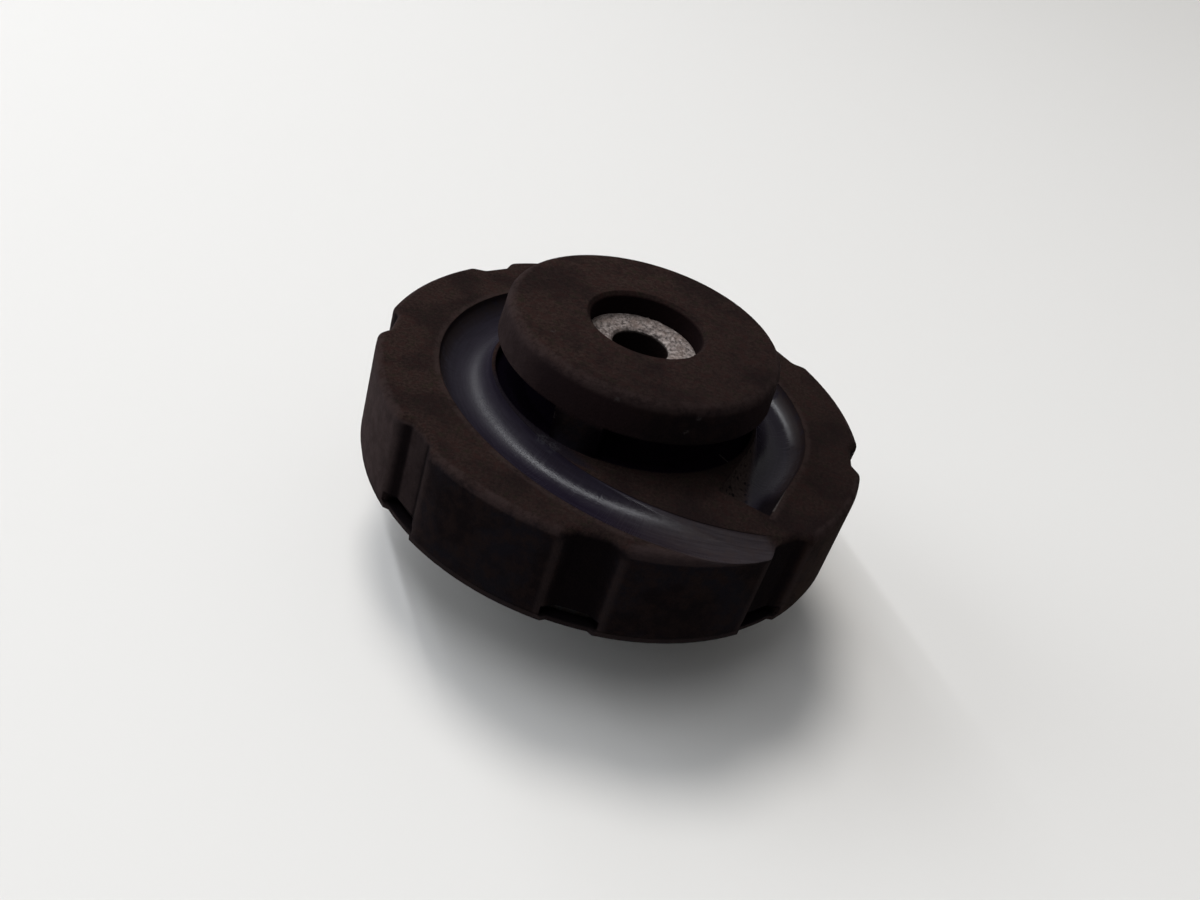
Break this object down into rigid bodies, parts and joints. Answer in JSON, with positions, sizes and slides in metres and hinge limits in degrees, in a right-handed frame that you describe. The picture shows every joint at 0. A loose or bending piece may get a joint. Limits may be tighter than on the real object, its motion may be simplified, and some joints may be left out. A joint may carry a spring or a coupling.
{
  "type": "coil spring insulator",
  "caption": "Round rubber spring seat for the top of a strut, with a notched rim, a spiral groove for the spring's end and a mushroom boss on a bonded aluminium bush.",
  "frame": {"origin": "centre of the flat end of the centring hub, on the axis of the bore", "axes": "+Z runs along the bore towards the boss head. A rim notch lies on each of +X, +Y, -X and -Y, and the spring's stop lies between +X and -Y."},
  "size_m": [0.1212, 0.1212, 0.0708],
  "materials": {
    "rubber": "matte, dusty",
    "aluminium": "rough, corroded",
    "steel": "dull, rusty"
  },
  "bodies": {
    "root": {"rubber_body": "rubber", "core_bush": "aluminium", "support_plate": "steel"}
  },
  "joints": []
}
